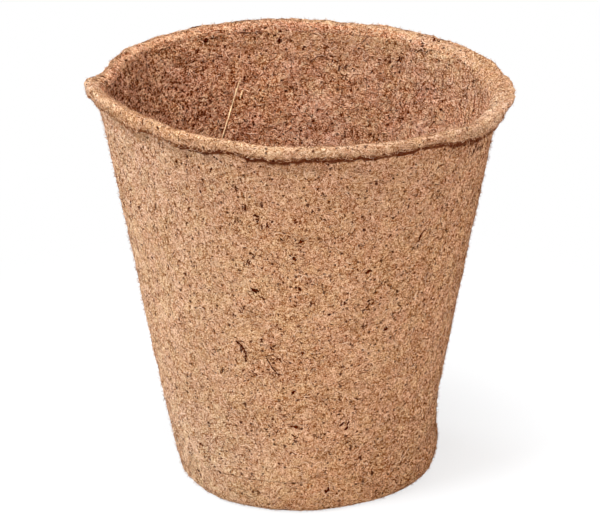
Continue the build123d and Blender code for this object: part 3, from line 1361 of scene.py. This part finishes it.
    def marked(self, skin: Skin, marks: Sequence[Mark], seed: int, sowing: Sowing) -> MeshDraft:
        """Lays bits where the marks say, singly or as small clusters of shreds.

        Args:
            skin: the face that carries them.
            marks: where they lie.
            seed: which draw of tones and shreds.
            sowing: how many shreds to a mark, their tones, points, lift, taper and flatness.

        Returns:
            The mesh as arrays.
        """
        rng = np.random.default_rng(seed)
        table = np.array([[m.turn, m.height, m.length, m.width, m.heading, m.bend] for m in marks])
        table = np.repeat(table, sowing.count, axis=0)
        count = len(table)
        if sowing.count > 1:
            stray = rng.normal(0.0, self.shred_stray, count) * table[:, 2]
            table[:, 0] += np.degrees(stray / self.form.outer(table[:, 1]))
            table[:, 1] += rng.normal(0.0, self.shred_stray, count) * table[:, 2]
            table[:, 2] *= rng.uniform(*self.shred_length, count)
            table[:, 3] *= rng.uniform(*self.shred_width, count)
            table[:, 4] += rng.normal(0.0, self.shred_turn, count)
        turn, height, length, width, heading, bend = table.T
        sense = -1.0 if skin is self.inner else 1.0
        looks = (length, width, np.radians(heading) * sense, bend * sense, rng.uniform(*sowing.tone, count))
        ends = (np.full(count, sowing.lift[0]), np.full(count, sowing.rear))
        return sowing.lay(skin, np.radians(turn), skin.share_at(height), *looks, *ends).draft()

    def mark(self, studio: Studio) -> None:
        """Lays the bark chips, rootlets and straws that the photograph shows one by one."""
        chip = Sowing(4, tone=(0.15, 0.9), lift=(0.03, 0.03), taper=0.4, flatness=0.4)
        root = Sowing(1, tone=(0.25, 0.7), lift=(0.04, 0.04), steps=16, taper=0.3, uneven=0.8)
        straw = dict(tone=(0.6, 0.95), lift=(0.15, 0.15), rear=-0.3)
        stem = Sowing(1, **straw, steps=26, taper=0.5, flatness=0.7, uneven=0.5)
        # A few of the outside chips, under the right flap's edge, stand partly for painted shade there.
        picked = ((self.outer, SEEN_OUTSIDE), (self.base, SEEN_ON_HEEL), (self.inner, SEEN_INSIDE))
        spots = []
        for skin, bits in picked:
            marks = [studio.found(seen, self.form, skin is self.inner) for seen in bits]
            spots.append(self.marked(skin, marks, 91, chip))
        spots.append(self.marked(self.rim, ON_RIM, 92, chip))
        self.keep(joined(spots).to_object("bark_chips", self.dyed(Tone.BARK)), "rootlet")
        roots = self.marked(self.outer, ROOTLETS, 81, root)
        self.keep(roots.to_object("root_threads", self.dyed(Tone.BARK)), "rootlet", "rootlets")
        stems = self.marked(self.inner, STRAWS, 82, stem)
        self.keep(stems.to_object("straws", self.dyed(Tone.STRAW)), "straw", "straw_stems")


@dataclass(frozen=True)
class Studio:
    """A plain white floor, soft light from the left, and the camera."""

    distance: float = 600.0
    elevation: float = 21.3
    aim: Colour = (-0.2, 0.0, 42.2)
    lens: float = 183.3
    picture: Range = (600.0, 527.0)
    lit: Colour = (0.0, 0.0, 45.0)
    floor_radius: float = 4000.0
    floor_rings: tuple[float, ...] = (0.02, 0.05, 0.12, 0.3, 1.0)
    floor_columns: int = 64
    floor_white: Colour = (0.92, 0.92, 0.92)
    floor_glow: float = 0.76
    shadow_end: Range = (0.04, 0.13)
    sky: float = 0.29
    lamps: tuple[tuple[str, Colour, float, float, Colour], ...] = (
        ("key", (-480.0, -400.0, 760.0), 300.0, 6.8, (0.93, 1.0, 1.07)),
        ("side", (-760.0, 480.0, 300.0), 400.0, 6.0, (0.91, 1.02, 1.11)),
        ("fill", (720.0, -540.0, 180.0), 600.0, 2.8, (1.26, 0.95, 0.80)),
        ("top", (0.0, -150.0, 890.0), 320.0, 6.8, (0.97, 1.0, 1.03)),
    )

    def camera(self) -> None:
        """A long lens a little above the pot, looking along +Y."""
        data = bpy.data.cameras.new("view")
        data.lens = self.lens
        data.sensor_width = SENSOR
        data.clip_end = 100.0
        made = linked("view", data)
        rise = np.radians(self.elevation)
        back = Vector((0.0, -np.cos(rise), np.sin(rise)))
        made.location = (Vector(self.aim) + back * self.distance) * MM
        made.rotation_euler = (-back).to_track_quat("-Z", "Y").to_euler()
        bpy.context.scene.camera = made

    def found(self, seen: Seen, form: PotForm, inner: bool) -> Mark:
        """Where the line of sight through a pixel meets the cone of a face.

        The squared distance from the axis equals the squared radius at that height, which is a quadratic in
        the distance along the sight: its near root is on the outer face, its far root on the inner one.

        Args:
            seen: the bit in the picture.
            form: the pot.
            inner: whether it lies on the inner face.

        Returns:
            The mark on that face.
        """
        rise = np.radians(self.elevation)
        width, height = self.picture
        scale = SENSOR / self.lens / width
        side, lift = (seen.across - width / 2.0) * scale, (height / 2.0 - seen.down) * scale
        sight = np.array([0.0, np.cos(rise), -np.sin(rise)])
        eye = np.array(self.aim) - self.distance * sight
        sight = sight + np.array([side, lift * np.sin(rise), lift * np.cos(rise)])
        face = form.inner if inner else form.outer
        foot, slope = face(0.0), face(1.0) - face(0.0)
        wide = foot + slope * eye[2]
        square = sight[0] ** 2 + sight[1] ** 2 - (slope * sight[2]) ** 2
        cross = eye[0] * sight[0] + eye[1] * sight[1] - wide * slope * sight[2]
        rest = eye[0] ** 2 + eye[1] ** 2 - wide**2
        root = np.sqrt(max(cross**2 - square * rest, 0.0))
        spot = eye + sight * ((-cross + root if inner else -cross - root) / square)
        turn = float(np.degrees(np.arctan2(spot[1], spot[0]))) % 360.0
        heading = 180.0 - seen.heading if inner else seen.heading
        return Mark(turn, float(spot[2]), seen.length, seen.width, heading, seen.bend)

    def lamp(self, name: str, place: Colour, size: float, power: float, colour: Colour) -> None:
        """A soft square lamp that looks at the middle of the pot.

        Args:
            name: the lamp's name.
            place: where it hangs.
            size: its side.
            power: its power in watts.
            colour: its colour.
        """
        data = bpy.data.lights.new(name, "AREA")
        data.size = size * MM
        data.energy = power
        data.color = colour
        made = linked(name, data)
        made.location = Vector(place) * MM
        made.rotation_euler = (Vector(self.lit) - Vector(place)).to_track_quat("-Z", "Y").to_euler()

    def world(self) -> None:
        """Even pale light, which the camera and mirrors see as white."""
        made = bpy.data.worlds.new("studio")
        graph = Graph(made)
        rays = graph.node("ShaderNodeLightPath", output="Is Camera Ray")
        seen = rays + rays.sibling("Is Glossy Ray") + rays.sibling("Is Transmission Ray")
        strength = graph.math("MINIMUM", seen, 1.0) * (1.0 - self.sky) + self.sky
        backdrop = graph.node("ShaderNodeBackground", {}, {"Color": WHITE, "Strength": strength})
        graph.node("ShaderNodeOutputWorld", {}, {"Surface": backdrop})
        bpy.context.scene.world = made

    def floor(self) -> None:
        """A white disc of rings, which keeps the pot's shadow and is plain white further off."""
        turn = np.linspace(0.0, ROUND, self.floor_columns, endpoint=False)
        reach = self.floor_radius * np.array(self.floor_rings)
        flat = np.zeros((len(reach), len(turn)))
        rows = np.stack([np.outer(reach, np.cos(turn)), np.outer(reach, np.sin(turn)), flat], axis=-1)
        points = np.concatenate([[(0.0, 0.0, 0.0)], rows.reshape(-1, 3)]) * MM
        index = 1 + np.arange(flat.size).reshape(flat.shape)
        near, far = index[:-1], index[1:]
        quads = np.stack([near, far, np.roll(far, -1, 1), np.roll(near, -1, 1)], axis=-1)
        fan = np.stack([np.zeros(len(turn), int), index[0], np.roll(index[0], -1)], axis=-1)
        mesh = bpy.data.meshes.new("floor")
        mesh.from_pydata(points.tolist(), [], quads.reshape(-1, 4).tolist() + fan.tolist())
        mesh.materials.append(self.floor_paint())
        made = linked("floor", mesh)

    def floor_paint(self) -> bpy.types.Material:
        """White paint, mixed for the camera with a white glow, which is all that shows away from the pot.

        Returns:
            The material.
        """
        made = bpy.data.materials.new("white_floor")
        graph = Graph(made)
        place = graph.node("ShaderNodeTexCoord", output="Object")
        away = graph.node("ShaderNodeVectorMath", {"operation": "LENGTH"}, {0: place}, "Value")
        rays = graph.node("ShaderNodeLightPath", output="Is Camera Ray")
        paint = graph.node("ShaderNodeBsdfDiffuse", {}, {"Color": (*self.floor_white, 1.0)})
        glow = graph.node("ShaderNodeEmission", {}, {"Color": WHITE, "Strength": 1.0})
        share = rays * (self.floor_glow + (1.0 - self.floor_glow) * graph.step(away, *self.shadow_end))
        surface = graph.node("ShaderNodeMixShader", {}, {0: share, 1: paint, 2: glow})
        graph.node("ShaderNodeOutputMaterial", {}, {"Surface": surface})
        return made

    def build(self) -> None:
        """Sets up the whole studio."""
        self.camera()
        self.world()
        self.floor()
        for lamp in self.lamps:
            self.lamp(*lamp)
        bpy.context.scene.view_settings.view_transform = "Standard"


SEEN_OUTSIDE = (
    Seen(121, 150, 0.5, 0.4), Seen(186, 159, 1.0, 0.45, -20), Seen(212, 173, 1.0, 0.7, 60),
    Seen(202, 182, 0.6, 0.4), Seen(200, 193, 0.7, 0.45), Seen(136, 208, 1.5, 0.4, 75),
    Seen(188, 210, 1.0, 0.45, 10), Seen(186, 201, 0.5, 0.45), Seen(236, 222, 1.0, 0.35, 80),
    Seen(245, 209, 1.6, 0.45, 70), Seen(258, 216, 1.0, 0.5, 20), Seen(267, 226, 1.5, 0.6, 60),
    Seen(297, 221, 0.8, 0.5, 30), Seen(184, 251, 0.5, 0.4), Seen(172, 255, 0.6, 0.4, 45),
    Seen(251, 263, 1.0, 0.55, 60), Seen(255, 257, 1.2, 0.3, 20), Seen(184, 275, 1.2, 0.45, 65),
    Seen(256, 290, 1.3, 0.9, 15), Seen(210, 290, 0.7, 0.4, 30), Seen(182, 299, 0.6, 0.4),
    Seen(235, 315, 0.9, 0.6), Seen(204, 309, 0.6, 0.4), Seen(295, 258, 1.0, 0.7, 20),
    Seen(264, 299, 0.8, 0.5, 40), Seen(303, 241, 1.0, 0.6), Seen(330, 165, 0.5, 0.4),
    Seen(364, 217, 0.7, 0.45, 30), Seen(352, 234, 0.9, 0.45, 45), Seen(391, 235, 0.6, 0.5),
    Seen(369, 271, 1.2, 0.7, 20), Seen(415, 273, 0.6, 0.4), Seen(385, 282, 1.4, 0.25, 60, 0.3),
    Seen(349, 293, 0.7, 0.4), Seen(345, 303, 0.7, 0.5), Seen(373, 303, 0.9, 0.4, 40),
    Seen(301, 289, 0.7, 0.5), Seen(386, 329, 1.1, 0.85, 10), Seen(300, 325, 0.8, 0.5, 20),
    Seen(416, 195, 0.8, 0.4, 70), Seen(270, 370, 0.8, 0.5), Seen(244, 370, 0.7, 0.35, 135),
    Seen(305, 354, 1.2, 0.6, 25), Seen(294, 393, 1.0, 0.6, 10), Seen(202, 444, 1.0, 0.55, 60),
    Seen(223, 458, 1.2, 0.4, 130), Seen(266, 429, 0.8, 0.5), Seen(252, 424, 0.7, 0.4),
    Seen(209, 423, 0.8, 0.5), Seen(250, 451, 0.9, 0.35, 85), Seen(315, 436, 0.7, 0.45),
    Seen(343, 367, 0.8, 0.5, 30), Seen(358, 398, 1.0, 0.5, 15), Seen(382, 399, 1.0, 0.4, 45),
    Seen(327, 396, 2.0, 0.25, 5, 0.2), Seen(347, 427, 1.6, 0.8, 60), Seen(361, 457, 0.8, 0.5),
    Seen(348, 443, 1.3, 0.3, 60, 0.3), Seen(414, 365, 0.6, 0.4), Seen(376, 345, 0.6, 0.45),
    Seen(241, 341, 1.0, 0.5, 150), Seen(273, 349, 1.2, 0.4, 140), Seen(279, 359, 1.0, 0.4, 130),
    # The bits from (476, 146) on lie under the right flap's edge: dark chips that stand partly for its ragged
    # dark fibres and partly for painted shade.
    Seen(272, 358, 2.4, 0.34, 155), Seen(275, 372, 2.6, 0.30, 155), Seen(476, 146, 1.6, 0.4, 75),
    Seen(481, 143, 1.5, 0.4, 80), Seen(471, 149, 1.3, 0.35, 70), Seen(486, 140, 1.3, 0.35, 80),
    Seen(466, 146, 1.2, 0.35, 60), Seen(474, 142, 1.6, 0.5, 20),
)
SEEN_ON_HEEL = (
    Seen(327, 491, 1.2, 0.8, 70), Seen(396, 484, 0.8, 0.5), Seen(287, 476, 1.4, 0.3, 20, 0.4),
    Seen(199, 470, 0.7, 0.5),
)
SEEN_INSIDE = (
    Seen(210, 41, 1.3, 0.8, 30), Seen(229, 48, 0.6, 0.5), Seen(206, 88, 0.6, 0.5),
    Seen(248, 80, 0.7, 0.6), Seen(188, 118, 1.5, 0.7, 20), Seen(181, 122, 1.0, 0.6),
    Seen(256, 124, 1.4, 0.7), Seen(283, 34, 0.8, 0.6), Seen(283, 44, 1.3, 0.8, 50),
    Seen(270, 53, 0.8, 0.5), Seen(135, 60, 0.9, 0.5), Seen(121, 90, 0.9, 0.5, 60),
    Seen(141, 81, 0.6, 0.5), Seen(267, 69, 1.4, 0.25, 120), Seen(206, 131, 0.6, 0.5),
    Seen(402, 60, 1.8, 0.75, 48), Seen(394, 67, 1.1, 0.35, 85), Seen(411, 113, 0.8, 0.7),
    Seen(451, 67, 0.7, 0.5), Seen(478, 80, 0.8, 0.5, 80), Seen(468, 122, 0.8, 0.55),
    Seen(356, 70, 0.7, 0.45), Seen(306, 50, 1.0, 0.7), Seen(315, 121, 0.7, 0.5),
    Seen(348, 67, 1.0, 0.6, 20), Seen(444, 109, 0.8, 0.5), Seen(430, 89, 0.8, 0.6),
    Seen(429, 48, 3.2, 0.3, 15), Seen(418, 51, 1.6, 0.3, 25),
)
ON_RIM = (
    Mark(177.0, 79.9, 1.6, 0.6, 20.0), Mark(173.0, 79.8, 1.4, 0.5, 70.0), Mark(180.0, 79.7, 1.0, 0.5, 100.0),
    Mark(43.0, 79.9, 1.4, 0.8, 10.0), Mark(45.0, 79.6, 1.6, 0.6, 160.0), Mark(48.0, 79.2, 1.4, 0.4, 165.0),
    Mark(107.5, 79.9, 5.0, 0.4), Mark(120.8, 79.8, 1.7, 0.6, 5.0), Mark(156.0, 79.8, 1.6, 0.6, 20.0),
)
ROOTLETS = (
    Mark(249.9, 35.9, 4.8, 0.52, 109.0, 0.35),
    Mark(260.0, 33.1, 5.0, 0.24, 120.0, -0.1),
    Mark(267.5, 19.7, 2.2, 0.46, 172.0, 0.15),
    Mark(309.6, 58.7, 2.3, 0.42, 64.0, -0.25),
)
STRAWS = (
    Mark(113.9, 63.2, 25.0, 0.34, 114.0, -0.02),
    Mark(109.2, 66.4, 2.4, 0.38, 117.0),
)


def main() -> None:
    """Builds the pot on its frame, then the studio."""
    logging.basicConfig(level=logging.INFO, format="%(name)s %(message)s")
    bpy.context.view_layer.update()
    pot = Pot(PotForm.from_frame())
    studio = Studio()
    felt = FeltFinish().material()
    pot.wall_face(pot.outer, "outer_felt", felt)
    pot.wall_face(pot.inner, "inner_felt", felt)
    pot.rolled_rim(felt)
    pot.dished_base(felt)
    pot.strew()
    pot.mark(studio)
    studio.build()


if __name__ == "__main__":
    main()
